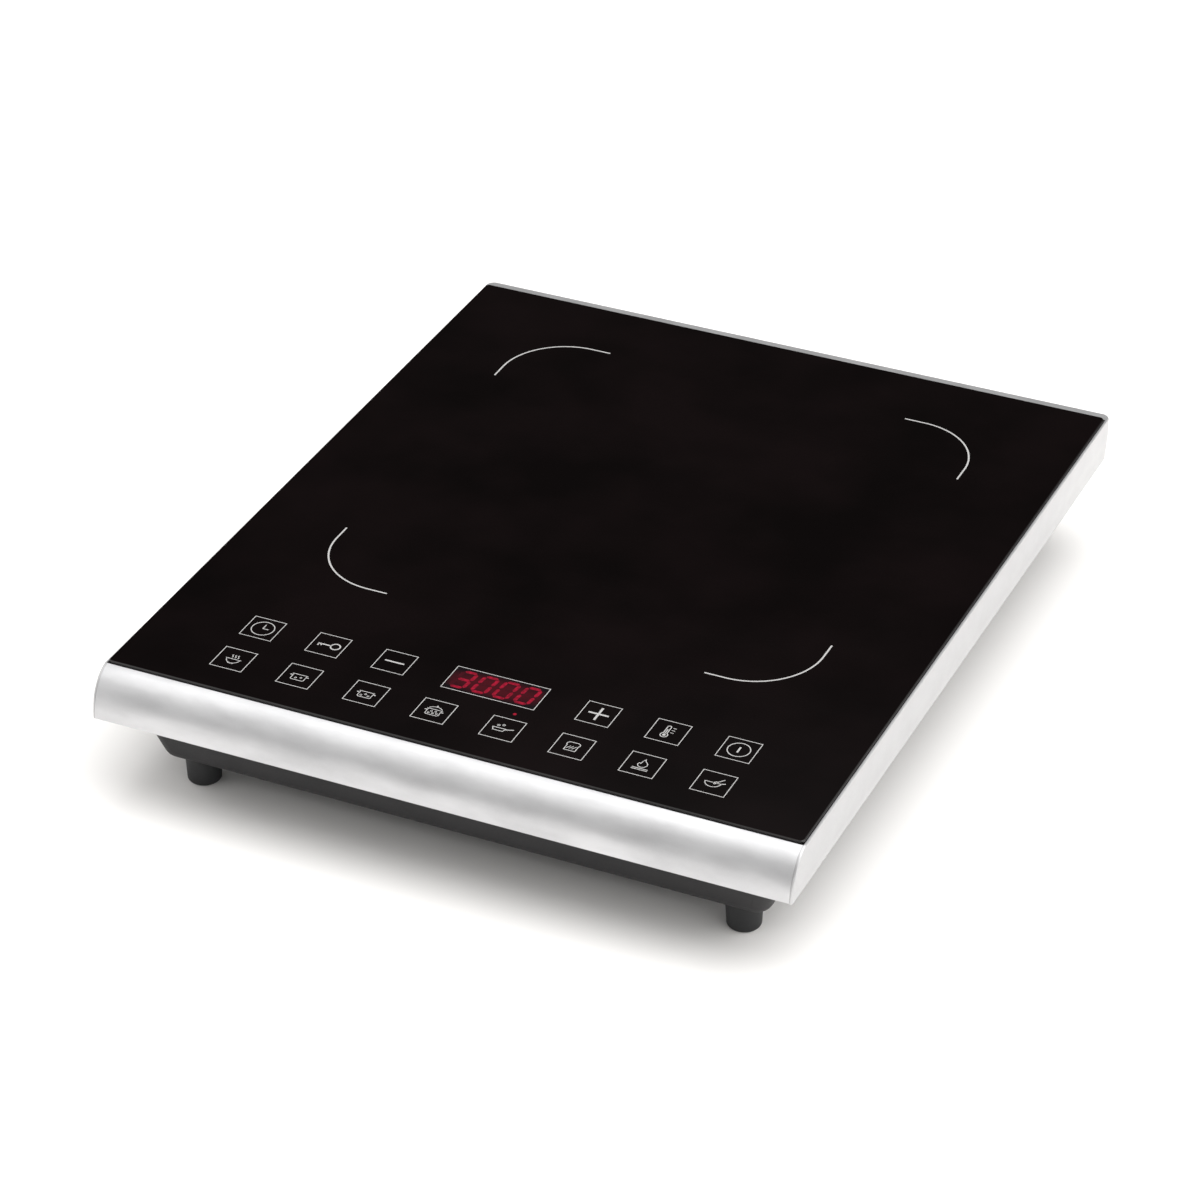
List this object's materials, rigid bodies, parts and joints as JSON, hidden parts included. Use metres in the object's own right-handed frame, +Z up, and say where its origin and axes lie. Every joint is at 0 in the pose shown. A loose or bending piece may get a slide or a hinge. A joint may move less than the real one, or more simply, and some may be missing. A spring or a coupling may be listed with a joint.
{
  "type": "induction hob",
  "caption": "Portable single-zone induction hob: black glass-ceramic top with touch controls and a display, silver casing, coil, fan and electronics inside, on rubber feet.",
  "frame": {"origin": "on the worktop, under the middle of the hob's outline", "axes": "+X to the user's right, +Y away from the user, +Z up"},
  "size_m": [0.3044, 0.3654, 0.06],
  "materials": {
    "ceramic_glass": "black glass-ceramic, polished",
    "silicone": "black silicone bead",
    "silver_casing": "satin silver lacquer",
    "satin_aluminium": "satin anodised",
    "charcoal_plastic": "fine moulded texture",
    "foot_rubber": "matte",
    "black_plastic": "moulded",
    "white_plastic": "moulded",
    "screw_steel": "zinc plated",
    "brass_fittings": "plain",
    "heat_resistant_plastic": "glass-filled",
    "copper_litz": "enamelled copper strands",
    "ferrite": "sintered",
    "mica": "pressed mica",
    "sensor_ceramic": "plain",
    "spring_steel": "bright wire",
    "lead_insulation": "silicone insulation",
    "board_laminate": "green solder mask",
    "extruded_aluminium": "as extruded",
    "epoxy_black": "moulded epoxy",
    "film_yellow": "box film capacitor",
    "film_blue": "coated",
    "display_body": "tinted face",
    "lamp_red": "diffused",
    "fuse_glass": "clear"
  },
  "bodies": {
    "housing": {"glass_top": "ceramic_glass", "glass_adhesive": "silicone", "casing_frame": "silver_casing", "front_bezel": "satin_aluminium", "base_tray": "charcoal_plastic", "base_screws": "screw_steel", "foot_front_left": "foot_rubber", "foot_front_right": "foot_rubber", "foot_rear_left": "foot_rubber", "foot_rear_right": "foot_rubber", "foot_screws": "screw_steel", "cord_gland": "black_plastic", "gland_locknut": "black_plastic", "terminal_block": "white_plastic", "mains_leads": "lead_insulation", "coil_former": "heat_resistant_plastic", "induction_coil": "copper_litz", "ferrite_bars": "ferrite", "mica_sheet": "mica", "coil_screws": "screw_steel", "coil_leads": "copper_litz", "sensor_spring": "spring_steel", "sensor_lead": "lead_insulation", "main_board": "board_laminate", "board_screws": "screw_steel", "heatsink": "extruded_aluminium", "igbt": "epoxy_black", "bridge_rectifier": "epoxy_black", "heatsink_screws": "screw_steel", "resonant_capacitor": "film_yellow", "filter_capacitor": "film_yellow", "line_capacitor": "film_yellow", "choke_core": "ferrite", "choke_winding": "copper_litz", "supply_transformer": "film_yellow", "electrolytic_capacitors": "epoxy_black", "fuse": "fuse_glass", "varistor": "film_blue", "buzzer": "epoxy_black", "board_connectors": "white_plastic", "fan_frame": "black_plastic", "fan_bearing": "brass_fittings", "fan_stator": "copper_litz", "fan_screws": "screw_steel", "fan_lead": "lead_insulation", "air_guide": "black_plastic", "control_board": "board_laminate", "control_carrier": "black_plastic", "control_screws": "screw_steel", "touch_springs": "spring_steel", "led_display": "display_body", "indicator_leds": "lamp_red", "control_chip": "epoxy_black", "ribbon_cable": "white_plastic"},
    "fan_wheel": {"fan_rotor": "black_plastic", "fan_shaft": "spring_steel"},
    "sensor_plunger": {"sensor_cap": "sensor_ceramic", "thermistor": "epoxy_black"}
  },
  "joints": [
    {"name": "fan_spin", "type": "hinge", "parent": "housing", "child": "fan_wheel", "pos_m": [-0.082, -0.1092, 0.028], "axis": [0, 0, 1], "continuous": true},
    {"name": "sensor_slide", "type": "slide", "parent": "housing", "child": "sensor_plunger", "axis": [0, 0, 1], "range_m": [-0.003, 0], "stiffness_N_per_m": 150, "springref_m": 0.003, "deforming": ["sensor_spring", "sensor_lead"]}
  ]
}
